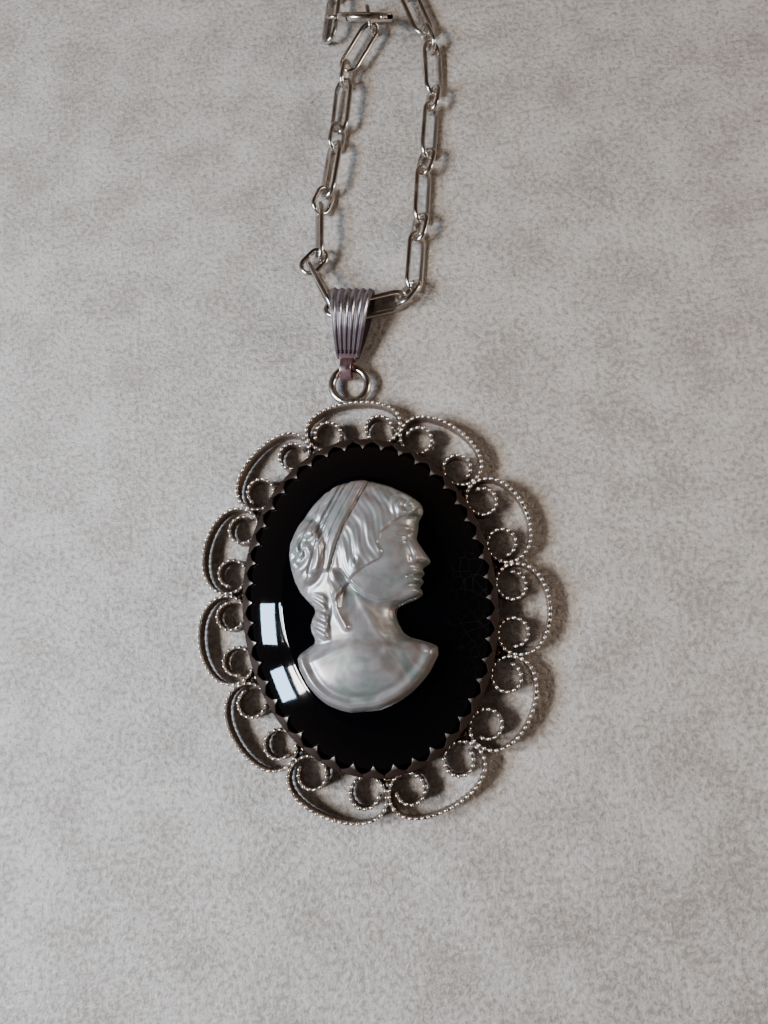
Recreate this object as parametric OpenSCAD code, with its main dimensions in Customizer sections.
// Cameo pendant lying flat with its chain: millimetres, +Z up, the back of the setting on z = 0.
// The long way of the stone runs along Y and the origin is the middle of the setting's flat back.

/* [Stone] */
// Length of the oval stone
stone_l = 40; // [32:0.5:48]
// Width of the oval stone
stone_w = 30; // [24:0.5:36]
// Height of the stone's upright edge
stone_edge_h = 2.7; // [1.5:0.1:4]
// Width of the smooth bevel round the flat table
bevel_w = 4.8; // [3:0.1:7]
// Height of the bevel
bevel_h = 1.8; // [0.8:0.1:3]

/* [Cameo] */
// Height of the bust, from its cut edge to the crown
cameo_h = 27.3; // [20:0.1:29]
// Width of the bust, over its shoulders
cameo_w = 17.4; // [12:0.1:19]
// Thickness of the bust at its outline
cameo_edge_h = 0.7; // [0.3:0.1:1.5]
// Height of the relief above the outline
cameo_relief = 3.7; // [1:0.1:5]
// How far the middle of the bust lies above the middle of the stone
cameo_rise = 0.65; // [-1:0.05:1.5]

/* [Cup] */
// Thickness of the closed back
back_t = 0.6; // [0.4:0.05:1.2]
// Thickness of the upright wall
wall_t = 0.45; // [0.35:0.05:0.8]
// Clearance between the stone and the cup
stone_gap = 0.06; // [0.04:0.01:0.1]
// Number of points along the saw-tooth edge
tooth_count = 44; // [30:2:48]
// Length of a point over the stone's bevel
tooth_l = 1.1; // [0.8:0.05:1.8]
// Thickness of a point
tooth_t = 0.3; // [0.2:0.02:0.5]

/* [Scrolls] */
// Number of curled scrolls round the cup
scroll_count = 11; // [10:1:12]
// Reach of the scrolls beyond the cup at the two ends of the oval
reach_end = 5.7; // [5:0.1:7]
// Reach of the scrolls beyond the cup at the sides of the oval
reach_side = 6.4; // [5:0.1:7]
// Outer diameter of the curl at each end of a scroll
volute_d = 3.75; // [3.2:0.05:4]
// How much wider each curl starts than it ends, measured out from its middle
volute_open = 1.1; // [0.9:0.05:1.3]
// Turns of each curl
volute_turns = 1.08; // [0.8:0.02:1.1]
// Thickness of the ribbon
ribbon_t = 0.38; // [0.3:0.02:0.5]
// Height of the ribbon without its beaded edges
ribbon_h = 2.3; // [1.6:0.1:3]
// Height of the ribbon's lower edge above the table
ribbon_z = 0.25; // [0:0.05:0.8]

/* [Top ring] */
// Outer diameter of the ring that is soldered to the top scroll
ring_d = 5.8; // [5.6:0.1:7]
// Thickness of its wire
ring_wire = 1.06; // [0.8:0.02:1.2]

/* [Bail] */
// Length of the bail from the middle of its eye to its fold
bail_l = 11; // [9:0.1:12]
// Width of the bail at its fold
bail_w = 5.8; // [4.6:0.1:6.6]
// Width of the bail beside its eye
bail_neck_w = 2.9; // [2.4:0.1:3.4]
// Half of the height of the folded loop
bail_swell = 2.55; // [2.4:0.05:3]
// Thickness of the bail's sheet
bail_t = 0.34; // [0.25:0.01:0.45]
// Number of raised flutes
flute_count = 6; // [4:1:7]
// Height of a flute above the sheet
flute_h = 0.26; // [0.1:0.02:0.35]
// Lean of the bail from the pendant's long way, in degrees
bail_lean = 10.5; // [4:0.5:14]
// Inner diameter of the bail's eye
eye_d = 2.2; // [2:0.05:2.6]
// Width of the eye's strap
eye_w = 1.5; // [1.2:0.1:1.6]

/* [Chain] */
// Length of a long link
long_l = 9.3; // [8.6:0.1:10]
// Width of a long link
long_w = 3.2; // [2.9:0.1:3.6]
// Length of a short link
short_l = 4.7; // [4.5:0.1:5]
// Width of a short link
short_w = 3.1; // [3:0.1:3.3]
// Thickness of the chain's wire
wire_d = 0.7; // [0.6:0.02:0.74]
// Clearance between two links where they hook together
link_gap = 0.3; // [0.26:0.01:0.34]
// Half of the width of the loop that the chain lies in
loop_half_w = 45; // [40:1:60]
// Length of that loop beyond the clasp
loop_l = 128; // [110:1:160]

/* [Clasp] */
// Outer diameter of the spring ring
clasp_d = 8.2; // [7.6:0.1:9]
// Outer diameter of its tube
tube_d = 1.26; // [1.2:0.02:1.3]
// Wall thickness of its tube
tube_wall = 0.12; // [0.1:0.01:0.16]
// Running clearance round the sliding bolt
bolt_gap = 0.06; // [0.03:0.01:0.08]
// Angle that the bolt slides through, in degrees
bolt_travel = 60; // [50:1:62]
// Outer diameter of the eyelet
eyelet_d = 3.1; // [3:0.02:3.3]
// Thickness of the eyelet's wire
eyelet_wire = 0.54; // [0.44:0.02:0.56]
// Width of the trigger's stem
trigger_d = 0.4; // [0.3:0.02:0.5]
// Lean of the clasp's plane, in degrees from the table
clasp_lean = 136; // [130:1:142]

/* [Hidden] */

silver = "#b9b5ae";
glass_black = "#17161a";
nacre = "#d8d3cf";

// Fine step for the oval outlines and for round parts
OVAL_STEPS = 120;
$fn = 48;
// Depth to which soldered pieces run into each other
lap = 0.1;
// Height of the stone's underside, of its upright edge's top and of its flat table
stone_z = back_t + stone_gap;
girdle_z = stone_z + stone_edge_h;
table_z = girdle_z + bevel_h;
// Outer face of the cup's wall, measured out from the stone's edge
cup_out = stone_gap + wall_t;

// Small helpers
function unit(v) = v / norm(v);
function ahead(angle) = [cos(angle), sin(angle)];
function sums(steps) =
    [for (i = 0, s = 0; i <= len(steps); s = s + (i < len(steps) ? steps[i] : 0), i = i + 1) s];
function between(low, high, share) = low + (high - low) * share;
function bell(x) = exp(-x * x);
function ramp(x) = let (c = min(1, max(0, x))) c * c * (3 - 2 * c);

// Turns clockwise from the top of the oval, spaced by equal lengths of its edge
oval_edge = [for (i = [0:360]) [stone_w / 2 * sin(i), stone_l / 2 * cos(i)]];
oval_sums = sums([for (i = [1:360]) norm(oval_edge[i] - oval_edge[i - 1])]);
oval_table = [for (i = [0:360]) [oval_sums[i] / oval_sums[360], i]];
function turn_at(share) = lookup(share - floor(share), oval_table);
// Outward direction, clockwise direction and place at a share of the stone's edge
function out_at(share) = let (t = turn_at(share)) unit([stone_l * sin(t), stone_w * cos(t)]);
function along_at(share) = let (n = out_at(share)) [n.y, -n.x];
function rim_at(share, out) =
    let (t = turn_at(share)) [stone_w / 2 * sin(t), stone_l / 2 * cos(t)] + out_at(share) * out;
function rim(out, steps = OVAL_STEPS) = [for (i = [0:steps - 1]) rim_at(i / steps, out)];

// Closed solid through a stack of rings that have the same number of points, lowest ring first
module loft(rings) {
    n = len(rings[0]);
    last = len(rings) - 1;
    walls = [
        for (k = [0:last - 1], i = [0:n - 1])
            let (a = k * n + i, b = k * n + (i + 1) % n) [a, b, b + n, a + n]
    ];
    polyhedron(
        points = [for (r = rings, p = r) p],
        faces = concat([[for (i = [n - 1:-1:0]) i]], walls, [[for (i = [0:n - 1]) last * n + i]])
    );
}

// Stone

// Sections of the stone: height, distance in from its edge
stone_rows = [
    [stone_z, 0.4],
    [stone_z + 0.4, 0],
    [girdle_z - 0.1, 0],
    [girdle_z + 0.05, 0.2],
    [table_z - 0.05, bevel_w - 0.1],
    [table_z, bevel_w + 0.15],
];

module stone() {
    color(glass_black)
        loft([for (row = stone_rows) [for (p = rim(-row[1], 60)) [p.x, p.y, row[0]]]]);
}

// Cup and its saw-tooth edge

bevel_angle = atan(bevel_h / bevel_w);
tooth_pitch = (oval_sums[360] + 2 * PI * cup_out) / tooth_count;

module tooth(share) {
    n = out_at(share);
    root = wall_t - 0.04;
    half = 0.48 * tooth_pitch;
    // The point starts inside the wall and rises along the bevel, just clear of the glass
    translate(concat(rim_at(share, stone_gap + root), girdle_z + stone_gap - (stone_gap + root) * tan(bevel_angle)))
        rotate([bevel_angle, 0, atan2(n.x, -n.y)])
            linear_extrude(tooth_t)
                polygon([
                    [-half, 0], [half, 0], [half, root], [0.36 * half, root + 0.36 * tooth_l],
                    [0, root + tooth_l], [-0.36 * half, root + 0.36 * tooth_l], [-half, root],
                ]);
}

module cup() {
    difference() {
        linear_extrude(girdle_z + 0.2) polygon(rim(cup_out));
        translate([0, 0, back_t]) linear_extrude(girdle_z) polygon(rim(stone_gap));
    }
    for (i = [0:tooth_count - 1]) tooth((i + 0.5) / tooth_count);
}

// Scrolls: one ribbon on edge from curl to curl, soldered to the cup and to its neighbours

volute_r = (volute_d - ribbon_t) / 2;
CURL_STEP = 24;
// Angle before the junction's side at which a curl starts, and where it has closed to its full circle
curl_lead = 30;
curl_closed = 200;

// Radius of the curl's middle line after t degrees
function curl_r(t) = volute_r + volute_open * pow(max(0, 1 - t / curl_closed), 2);
curl_turns = [for (t = [0:CURL_STEP:360 * volute_turns]) t];
// Reach of the curl towards its junction and towards the cup
curl_wide = max([for (t = curl_turns) curl_r(t) * cos(t - curl_lead)]);
curl_deep = max([for (t = curl_turns) curl_r(t) * sin(t - curl_lead)]);
curl_side = curl_wide + ribbon_t / 2 - lap / 4;
// Radius of the oval at a share of its edge: the cup bends away from the curl by this much
function bend_at(share) =
    let (t = turn_at(share))
    4 * pow(pow(stone_w / 2 * cos(t), 2) + pow(stone_l / 2 * sin(t), 2), 1.5) / stone_w / stone_l;
function curl_sink(share) = pow(curl_side, 2) / 2 / (bend_at(share) + cup_out + curl_deep);

// Middle of the curl beside a junction; side is 1 on its clockwise side and -1 on the other
function volute_at(share, side) =
    rim_at(share, cup_out + ribbon_t / 2 - lap + curl_deep - curl_sink(share))
    + along_at(share) * side * curl_side;
// The curl, from where it leaves the junction inwards to its end
function curl(share, side) =
    let (c = volute_at(share, side), n = out_at(share), a = along_at(share) * -side)
    [for (t = curl_turns) c + (a * cos(t - curl_lead) - n * sin(t - curl_lead)) * curl_r(t)];
function bezier(p, t) =
    p[0] * pow(1 - t, 3) + p[1] * 3 * t * pow(1 - t, 2) + p[2] * 3 * t * t * (1 - t) + p[3] * pow(t, 3);
arch_lean = 17;
function backwards(list) = [for (i = [len(list) - 1:-1:0]) list[i]];

function scroll_line(k) =
    let (
        low = (k - 0.5) / scroll_count, mid = k / scroll_count, high = (k + 0.5) / scroll_count,
        first = curl(low, 1), last = curl(high, -1),
        n_mid = out_at(mid),
        // The arch leans in a little from its two junctions
        n_low = out_at(low) * cos(arch_lean) + along_at(low) * sin(arch_lean),
        n_high = out_at(high) * cos(arch_lean) - along_at(high) * sin(arch_lean),
        reach = between(reach_end, reach_side, pow(sin(turn_at(mid)), 2)) - ribbon_t / 2,
        start = ((first[0] + last[0]) / 2 - rim_at(mid, cup_out)) * n_mid,
        pull = (reach - start) / (0.75 * ((n_low + n_high) / 2 * n_mid)),
        p = [first[0], first[0] + n_low * pull, last[0] + n_high * pull, last[0]]
    )
    concat(backwards(first), [for (i = [1:11]) bezier(p, i / 12)], last);

// Outline of a ribbon of even thickness along a line
function ribbon(line, thickness) =
    let (
        top = len(line) - 1,
        side = [
            for (i = [0:top])
                let (d = unit(line[min(i + 1, top)] - line[max(i - 1, 0)])) [-d.y, d.x] * thickness / 2
        ]
    )
    concat([for (i = [0:top]) line[i] + side[i]], [for (i = [top:-1:0]) line[i] - side[i]]);

module scrolls() {
    for (k = [0:scroll_count - 1])
        translate([0, 0, ribbon_z]) linear_extrude(ribbon_h) polygon(ribbon(scroll_line(k), ribbon_t));
}

// Ring on top of the first scroll, lying in the pendant's plane

ring_y = stone_l / 2 + cup_out + reach_end + ring_d / 2 - 2 * lap;
ring_z = ribbon_z + ribbon_h / 2;
ring_r = (ring_d - ring_wire) / 2;

module top_ring() {
    translate([0, ring_y, ring_z]) rotate_extrude() translate([ring_r, 0]) circle(d = ring_wire);
}

module setting() {
    color(silver) {
        cup();
        scrolls();
        top_ring();
    }
}

// Cameo: a bust in profile, in rows from its cut edge up to the crown

// Outline of the bust: share of its height, back edge and front edge as shares of its width
bust_edges = [
    [0.000, -0.075, -0.060],
    [0.015, -0.180, 0.055],
    [0.044, -0.295, 0.175],
    [0.095, -0.395, 0.305],
    [0.147, -0.450, 0.385],
    [0.205, -0.490, 0.442],
    [0.260, -0.500, 0.405],
    [0.300, -0.435, 0.310],
    [0.350, -0.330, 0.215],
    [0.403, -0.295, 0.185],
    [0.432, -0.300, 0.230],
    [0.450, -0.315, 0.325],
    [0.470, -0.335, 0.388],
    [0.495, -0.360, 0.375],
    [0.517, -0.385, 0.400],
    [0.538, -0.410, 0.394],
    [0.560, -0.430, 0.412],
    [0.582, -0.450, 0.402],
    [0.606, -0.465, 0.465],
    [0.650, -0.490, 0.432],
    [0.707, -0.498, 0.380],
    [0.744, -0.486, 0.398],
    [0.791, -0.455, 0.415],
    [0.828, -0.420, 0.448],
    [0.872, -0.368, 0.430],
    [0.916, -0.300, 0.350],
    [0.960, -0.205, 0.235],
    [0.989, -0.105, 0.120],
    [1.000, -0.030, -0.010],
];
// Fullness of the relief: share of the bust's height, share of the relief's height
bust_full = [
    [0.00, 0.30], [0.06, 0.52], [0.20, 0.68], [0.32, 0.62], [0.41, 0.58],
    [0.48, 0.74], [0.60, 0.92], [0.72, 1.00], [0.86, 0.93], [0.95, 0.70], [1.00, 0.30],
];
BUST_ROWS = 46;
BUST_COLS = 24;

function column(table, i) = [for (row = table) [row[0], row[i]]];
back_edge = column(bust_edges, 1);
front_edge = column(bust_edges, 2);

// Height of the relief at shares x of the width from the middle and y of the height, u across the row
function relief(x, y, u) =
    let (
        swell = lookup(y, bust_full) * pow(1 - pow(abs(2 * u - 1), 2.6), 0.5),
        // Hair covers the head behind a line that falls from the brow to behind the jaw
        hair = ramp((y - 0.44) / 0.05) * ramp((0.06 + 0.9 * (y - 0.62) - x) / 0.08 + ramp((y - 0.8) / 0.05) * 4),
        // Distance from the ribbon that runs from above the brow down behind the ear
        band = (y - 0.93 - 0.78 * (x - 0.20)) / 0.030,
        second = (y - 0.83 - 0.78 * (x - 0.20)) / 0.018,
        waves = 0.035 * sin(2600 * y - 1500 * x),
        knot = bell(norm([(x + 0.36) / 0.13, (y - 0.66) / 0.075])),
        rim_line = bell((y - 0.045 - 0.55 * x * x) / 0.022)
    )
    swell * (0.90 + 0.10 * hair)
    + hair * (waves + 0.10 * bell(band) + 0.06 * bell(second) + 0.14 * knot)
    + 0.07 * rim_line * ramp((0.2 - y) / 0.1) * min(1, 4 * swell);

module cameo() {
    rows = [for (k = [0:BUST_ROWS]) between(0.004, 0.996, k / BUST_ROWS)];
    shares = [for (j = [0:BUST_COLS]) 0.5 - 0.5 * cos(180 * j / BUST_COLS)];
    foot = table_z + 0.03;
    wide = BUST_COLS + 1;
    last = BUST_ROWS * wide;
    top = [
        for (y = rows, u = shares)
            let (x = between(lookup(y, back_edge), lookup(y, front_edge), u))
            [x * cameo_w, (y - 0.5) * cameo_h + cameo_rise, foot + cameo_edge_h + cameo_relief * relief(x, y, u)]
    ];
    // Two points a row for the flat underside, below the two ends of the row
    n = len(top);
    base = [for (k = [0:BUST_ROWS], i = [0, BUST_COLS]) let (p = top[k * wide + i]) [p.x, p.y, foot]];
    color(nacre)
        polyhedron(
            points = concat(top, base),
            faces = concat(
                [
                    for (k = [0:BUST_ROWS - 1], j = [0:BUST_COLS - 1])
                        let (a = k * wide + j) [a, a + wide, a + wide + 1, a + 1]
                ],
                [for (k = [0:BUST_ROWS - 1]) let (a = k * wide, b = n + 2 * k) [a, b, b + 2, a + wide]],
                [
                    for (k = [0:BUST_ROWS - 1])
                        let (a = k * wide + BUST_COLS, b = n + 2 * k + 1) [a, a + wide, b + 2, b]
                ],
                [for (k = [0:BUST_ROWS - 1]) let (b = n + 2 * k) [b, b + 1, b + 3, b + 2]],
                [concat([n + 1, n], [for (j = [0:BUST_COLS]) j])],
                [concat([n + 2 * BUST_ROWS, n + 2 * BUST_ROWS + 1], [for (j = [BUST_COLS:-1:0]) last + j])]
            )
        );
}

// Bail: a fluted strip folded into a drop-shaped loop, with an eye for the top ring

// The eye holds the ring's wire a little to the left of the ring's top
eye_x = -0.2;
eye_y = ring_y + sqrt(pow(ring_r, 2) - pow(eye_x, 2)) - 0.15;
eye_r = eye_d / 2;
eye_z = eye_r + bail_t + 0.12;
bail_start = eye_r + 1.5 * bail_t;
bail_loop = bail_l - bail_t - bail_start;
// Middle height of the loop's fold
fold_z = 0.7 * bail_swell + bail_t + 0.08;
BAIL_STEPS = 26;

function bail_share(t) = (1 - cos(t)) / 2;
// Inner face of the loop, as distance from the eye and height, at an angle round the loop
function bail_line(t) =
    let (s = bail_share(t))
    [bail_start + bail_loop * s, between(eye_z, fold_z, min(1, 1.6 * s)) + bail_swell * sin(t) * pow(sin(t / 2), 1.5)];
function bail_out(t) = let (d = unit(bail_line(t + 0.5) - bail_line(t - 0.5))) [-d.y, d.x];
function bail_half(t) = between(bail_neck_w, bail_w, pow(bail_share(t), 0.8)) / 2;

module bail() {
    columns = 3 * flute_count;
    wide = columns + 1;
    angles = [for (i = [0:BAIL_STEPS - 1]) 6 + 348 * i / (BAIL_STEPS - 1)];
    outer = [
        for (t = angles, j = [0:columns])
            let (
                // The flutes die out over the fold, towards the plain lower leaf
                flute = flute_h * pow(sin(180 * flute_count * j / columns), 2) * ramp(10 * bail_share(t)),
                p = bail_line(t) + bail_out(t) * (bail_t + flute * ramp((215 - t) / 40)),
                x = bail_half(t) * (2 * j / columns - 1)
            )
            [x, p[0], p[1]]
    ];
    inner = [for (t = angles, side = [-1, 1]) let (p = bail_line(t)) [side * bail_half(t), p[0], p[1]]];
    n = len(outer);
    last = BAIL_STEPS - 1;
    color(silver)
        translate([eye_x, eye_y, 0])
            rotate(-bail_lean) {
                polyhedron(
                    points = concat(outer, inner),
                    faces = concat(
                        [
                            for (i = [0:last - 1], j = [0:columns - 1])
                                let (a = i * wide + j) [a, a + wide, a + wide + 1, a + 1]
                        ],
                        [for (i = [0:last - 1]) let (a = n + 2 * i) [a, a + 1, a + 3, a + 2]],
                        [for (i = [0:last - 1]) let (a = i * wide, b = n + 2 * i) [b, b + 2, a + wide, a]],
                        [
                            for (i = [0:last - 1])
                                let (a = i * wide + columns, b = n + 2 * i + 1) [a, a + wide, b + 2, b]
                        ],
                        [concat([n + 1, n], [for (j = [0:columns]) j])],
                        [concat([n + 2 * last, n + 2 * last + 1], [for (j = [columns:-1:0]) last * wide + j])]
                    )
                );
                // Neck that joins the two leaves to the eye
                translate([-bail_neck_w / 2 + 0.35, eye_r + 0.1, eye_z - 0.55])
                    cube([bail_neck_w - 0.7, 2.4 * bail_t + 0.35, 1.1]);
                translate([0, 0, eye_z])
                    rotate([0, 90, 0])
                        rotate_extrude() translate([eye_r, -eye_w / 2]) square([bail_t + 0.06, eye_w]);
            }
}

// Chain: long links with pointed ends and short oval links, each rolled against its neighbours

long_wire = long_l - wire_d;
short_wire = short_l - wire_d;
hook = (wire_d + link_gap) / 2;
long_span = long_wire - 2 * hook;
short_span = short_wire - 2 * hook;

// Rounded tip and wide shoulders of a long link's end
tip_r = 1.05;
shoulder_r = 2.2;
WIRE_SIDES = 5;

// A quarter of each link's middle line, from its tip to its long side
short_quarter =
    let (r = (short_w - wire_d) / 2, straight = (short_l - short_w) / 2)
    [for (a = [0, 42, 90]) [straight + r * cos(a), r * sin(a)]];
long_quarter =
    let (
        half = (long_w - wire_d) / 2,
        lean = asin((shoulder_r - half) / (shoulder_r - tip_r)),
        tip_x = long_wire / 2 - tip_r,
        straight = tip_x - (shoulder_r - tip_r) * cos(lean)
    )
    [
        [tip_x + tip_r, 0],
        [tip_x + tip_r * cos(lean), tip_r * sin(lean)],
        [straight + shoulder_r * cos(66), half - shoulder_r + shoulder_r * sin(66)],
        [straight, half],
    ];
// The whole line, turned once round from the tip
function whole_line(quarter) =
    let (last = len(quarter) - 1)
    concat(
        quarter,
        [for (i = [last:-1:0]) [-quarter[i].x, quarter[i].y]],
        [for (i = [1:last]) [-quarter[i].x, -quarter[i].y]],
        [for (i = [last:-1:1]) [quarter[i].x, -quarter[i].y]]
    );
short_line = whole_line(short_quarter);
long_line = whole_line(long_quarter);

// Points of a link's wire round its middle line
function wire_points(line) = [
    for (i = [0:len(line) - 1])
        let (
            before = line[(i + len(line) - 1) % len(line)], after = line[(i + 1) % len(line)],
            d = unit(after - before), side = [d.y, -d.x],
            wider = wire_d / 2 / cos(180 / WIRE_SIDES * 0.6)
        )
        for (j = [0:WIRE_SIDES - 1])
            let (a = 360 * j / WIRE_SIDES) [for (v = line[i] + side * wider * cos(a)) v, wider * sin(a)]
];
short_points = wire_points(short_line);
long_points = wire_points(long_line);

// Lowest height at which a link's middle can lie, for its width and roll
function rest_z(width, roll) = wire_d / 2 + (width - wire_d) / 2 * abs(sin(roll));

// Each link is [middle, heading, roll, whether it is long, how far something lifts it]. Where two
// links hook together the lower one is carried by the higher one.
function own_z(link) = rest_z(link[3] ? long_w : short_w, link[2]) + link[4];
function end_z(link, other) = other == undef ? own_z(link) : max(own_z(link), own_z(other));
// The same links as [middle in space, heading, roll, whether it is long, pitch]
function at_height(list) = [
    for (i = [0:len(list) - 1])
        let (
            link = list[i], low = end_z(link, list[i - 1]), high = end_z(link, list[i + 1]),
            on = i + 1 < len(list) ? list[i + 1][0] - link[0] : link[0] - list[i - 1][0],
            rise = (high - low) * sign(ahead(link[1]) * on)
        )
        [
            concat(link[0], (low + high) / 2), link[1], link[2], link[3],
            asin(rise / (link[3] ? long_span : short_span))
        ]
];
function placed(link) =
    let (
        c = cos(link[1]), s = sin(link[1]), cr = cos(link[2]), sr = sin(link[2]),
        cp = cos(link[4]), sp = sin(link[4]), u = [c * cp, s * cp, sp], w = [-c * sp, -s * sp, cp]
    )
    [
        for (p = link[3] ? long_points : short_points)
            link[0] + p.x * u + (p.y * cr - p.z * sr) * [-s, c, 0] + (p.y * sr + p.z * cr) * w
    ];

// All links of a stretch as one solid each
module links(list) {
    starts = sums([for (link = list) len(link[3] ? long_points : short_points)]);
    polyhedron(
        points = [for (link = list) each placed(link)],
        faces = [
            for (k = [0:len(list) - 1])
                let (start = starts[k], steps = len(list[k][3] ? long_line : short_line))
                for (i = [0:steps - 1], j = [0:WIRE_SIDES - 1])
                    let (
                        a = start + i * WIRE_SIDES, b = start + (i + 1) % steps * WIRE_SIDES,
                        next = (j + 1) % WIRE_SIDES
                    )
                    [a + j, a + next, b + next, b + j]
        ]
    );
}

// The route of the strands, outwards from the short link in the bail: heading and roll of each link,
// and the extra room at its inner joint, long and short links by turns
in_bail_lift = bail_t + 1.4;
start_heading = -20;
start_roll = -20;
right_route = [
    [11, 54, 0.06], [46, -40, 0.05], [80, 46, 0.1], [73, -40, 0.04], [81, 52, 0.04], [71, -35, 0.04],
    [80, 52, 0.04], [76, -48, 0.04], [86, 36, 0.02], [104, 110, 0.02], [104, 15, 0.04],
];
left_route = [
    [110, -88, -0.01], [42, 4, 0.06], [85, -66, 0.06], [64, 40, 0.05], [76, -40, 0.04], [74, 55, 0.04],
    [79, -25, 0.05], [74, 75, 0.03], [56, 0, 0.02], [92, 90, 0.02],
];
// Middle of the short link in the bail
start_spot = [eye_x, eye_y] + (bail_l - 2.9) * ahead(90 - bail_lean) + [-1.48, 0.15];

// Room from a link's tip to the joint with its neighbour. Where the chain turns, a link that lies
// flat gives more room and one that stands on edge gives less.
function hook_at(turn, roll, extra = 0) =
    hook + abs(sin(turn)) * between(-0.2, 0.6, pow(cos(roll), 2)) + extra;
// Middle of each link of a strand, from the joint where it starts
function strand(route, from_heading, joint, i = 0) =
    i == len(route) ? [] :
    let (
        heading = route[i][0], roll = route[i][1],
        wire = i % 2 == 0 ? long_wire : short_wire,
        back = hook_at(heading - (i == 0 ? from_heading : route[i - 1][0]), roll, route[i][2]),
        front = i + 1 < len(route) ? hook_at(route[i + 1][0] - heading, roll, route[i + 1][2]) : hook,
        middle = joint + ahead(heading) * (wire / 2 - back)
    )
    concat([middle], strand(route, from_heading, joint + ahead(heading) * (wire - back - front), i + 1));

function start_joint(heading, next) =
    start_spot + ahead(heading) * (short_wire / 2 - hook_at(next[0] - heading, start_roll, next[2]));
right_spots = strand(right_route, start_heading, start_joint(start_heading, right_route[0]));
left_spots = strand(left_route, start_heading + 180, start_joint(start_heading + 180, left_route[0]));

function strand_links(route, spots) =
    [for (i = [0:len(route) - 1]) [spots[i], route[i][0], route[i][1], i % 2 == 0, 0]];

// Clasp: a spring ring that leans on the last short link of the left strand

tube_r = tube_d / 2;
clasp_r = (clasp_d - tube_d) / 2;
bore_r = tube_r - tube_wall;
bolt_r = bore_r - bolt_gap;
clasp_yaw = -11;
// Angles round the ring: the eyelet, the open gap and the trigger at rest
eyelet_at = 210;
gap_from = 70;
gap_to = gap_from + bolt_travel - 5;
trigger_at = gap_from - 20;
// The lowest part of the ring lies in the far end of the last short link
last_heading = left_route[len(left_route) - 1][0];
hold_spot = left_spots[len(left_spots) - 1] + ahead(last_heading) * ((short_l - short_w) / 2 - 1.4 * lap);
hold_z = rest_z(short_w, 90) + 0.04;
clasp_mid = concat(
    hold_spot - clasp_r * cos(clasp_lean) * -ahead(clasp_yaw + 90),
    hold_z + clasp_r * sin(clasp_lean)
);

module in_clasp() {
    translate(clasp_mid) rotate([clasp_lean, 0, clasp_yaw]) children();
}

eyelet_r = (eyelet_d - eyelet_wire) / 2;
eyelet_reach = clasp_d / 2 + eyelet_d / 2 - 2 * lap;

module clasp_ring() {
    color(silver)
        in_clasp() {
            difference() {
                rotate_extrude(angle = 360 - (gap_to - gap_from), start = gap_to)
                    translate([clasp_r, 0]) difference() {
                        circle(r = tube_r);
                        circle(r = bore_r);
                    }
                // Slot for the trigger, on the outside of the ring
                rotate_extrude(angle = bolt_travel + 12, start = trigger_at - bolt_travel - 6)
                    translate([clasp_r + bore_r - 0.25, -trigger_d / 2 - bolt_gap])
                        square([1, trigger_d + 2 * bolt_gap]);
            }
            rotate(eyelet_at)
                translate([eyelet_reach, 0, 0])
                    rotate_extrude() translate([eyelet_r, 0]) circle(d = eyelet_wire);
        }
}

module clasp_bolt() {
    inner_end = trigger_at - 22;
    color(silver)
        in_clasp() {
            rotate_extrude(angle = gap_to + 4 - inner_end, start = inner_end)
                translate([clasp_r, 0]) circle(r = bolt_r);
            rotate(trigger_at) {
                translate([clasp_r, 0, 0]) rotate([0, 90, 0]) cylinder(d = trigger_d, h = tube_r + 0.45);
                translate([clasp_d / 2 + 0.45, 0, 0]) sphere(r = 0.34);
            }
        }
}

// Back of the chain: from the link in the eyelet, the plain way round to the right strand

// The first long link lies against the eyelet, its right side inside it
eyelet_flat = ahead(clasp_yaw) * cos(eyelet_at) + ahead(clasp_yaw + 90) * sin(eyelet_at) * cos(clasp_lean);
eyelet_spot = [clasp_mid.x, clasp_mid.y] + eyelet_flat * eyelet_reach;
first_heading = 78;
first_roll = -38;
first_spot = eyelet_spot + ahead(first_heading) * 0.8
    - ahead(first_heading - 90) * (long_w - wire_d) / 2 * cos(first_roll);
loop_start = first_spot + ahead(first_heading) * (long_wire / 2 - hook - 0.05);
right_last = len(right_route) - 1;
end_heading = right_route[right_last][0];
loop_end = right_spots[right_last] + ahead(end_heading) * (long_wire / 2 - hook - 0.05);

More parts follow.
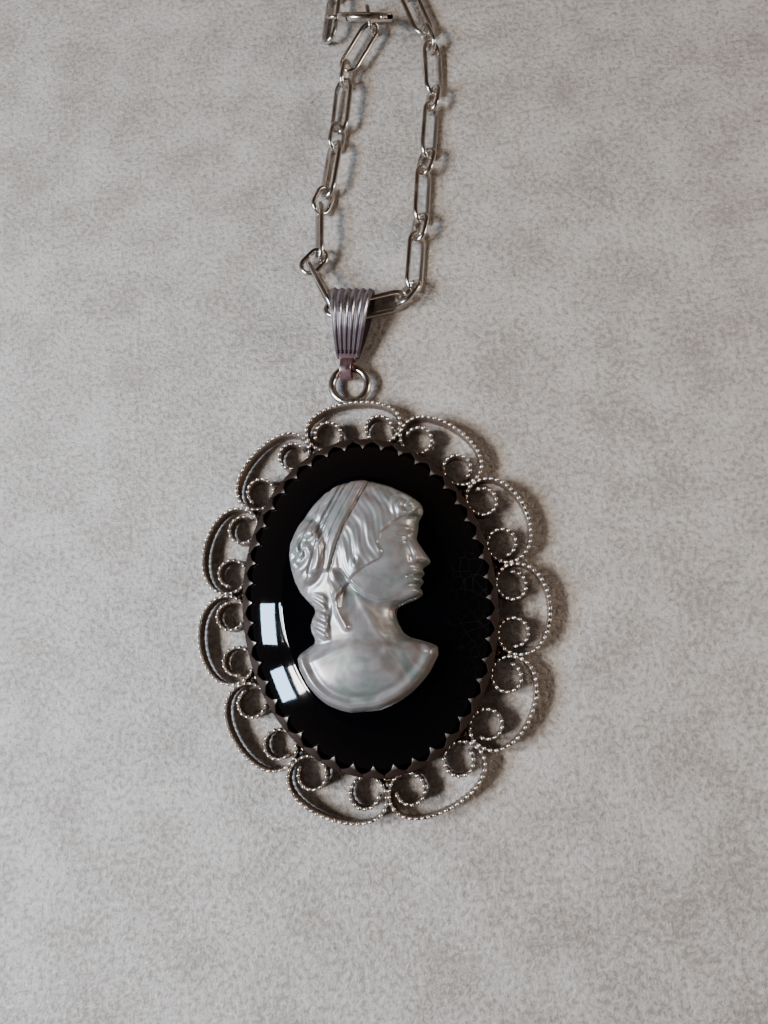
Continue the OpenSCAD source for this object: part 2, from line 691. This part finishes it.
// Points of the loop, chosen by hand: shares of its half width from the middle and of its length
loop_shares = [
    [-0.30, 0.20], [-0.80, 0.40], [-1.00, 0.64], [-0.74, 0.89], [0.00, 1.00],
    [0.74, 0.89], [1.00, 0.64], [0.80, 0.40], [0.32, 0.20],
];
loop_mid = (loop_start + loop_end) / 2;
loop_points = concat(
    [loop_start - ahead(first_heading) * 14, loop_start, loop_start + ahead(first_heading + 12) * 12],
    [for (s = loop_shares) [loop_mid.x + s.x * loop_half_w, loop_mid.y + s.y * loop_l]],
    [loop_end + ahead(end_heading - 14) * 12, loop_end, loop_end - ahead(end_heading) * 14]
);
function through(p, t) =
    (2 * p[1] + (p[2] - p[0]) * t + (2 * p[0] - 5 * p[1] + 4 * p[2] - p[3]) * t * t
        + (3 * p[1] - p[0] - 3 * p[2] + p[3]) * t * t * t) / 2;
SPAN_STEPS = 12;
loop_line = concat(
    [
        for (i = [1:len(loop_points) - 3], k = [0:SPAN_STEPS - 1])
            through([for (j = [-1:2]) loop_points[i + j]], k / SPAN_STEPS)
    ],
    [loop_end]
);
loop_sums = sums([for (i = [1:len(loop_line) - 1]) norm(loop_line[i] - loop_line[i - 1])]);
loop_total = loop_sums[len(loop_sums) - 1];
function loop_at(s) =
    [for (axis = [0, 1]) lookup(s, [for (i = [0:len(loop_line) - 1]) [loop_sums[i], loop_line[i][axis]]])];
// Pairs of links that fill the loop, and how much closer than taut they lie
loop_pairs = ceil((loop_total - short_span) / (long_span + short_span));
slack = loop_total / (short_span + loop_pairs * (long_span + short_span));
loop_joints = [
    for (i = [0:2 * loop_pairs + 1])
        loop_at(slack * (ceil(i / 2) * short_span + floor(i / 2) * long_span))
];

end_roll = -right_route[right_last][1];
back_links = concat(
    [[first_spot, first_heading, first_roll, true, 0.1]],
    [
        for (i = [0:2 * loop_pairs])
            let (
                d = loop_joints[i + 1] - loop_joints[i], long = i % 2 == 1,
                roll = between(first_roll, end_roll, i / (2 * loop_pairs)) + (long ? 0 : 90)
            )
            [(loop_joints[i] + loop_joints[i + 1]) / 2, atan2(d.y, d.x), roll, long, 0]
    ]
);
front_links = concat(
    backwards(strand_links(left_route, left_spots)),
    [[start_spot, start_heading, start_roll, false, in_bail_lift]],
    strand_links(right_route, right_spots)
);
// The whole chain in order, from the clasp's tube through the bail and round to its eyelet
all_links = at_height(concat(front_links, backwards(back_links)));

module chain_front() {
    color(silver) links([for (i = [0:len(front_links) - 1]) all_links[i]]);
}

module chain_back() {
    color(silver) links([for (i = [len(front_links):len(all_links) - 1]) all_links[i]]);
}

setting();
stone();
cameo();
bail();
chain_front();
chain_back();
clasp_ring();
clasp_bolt();
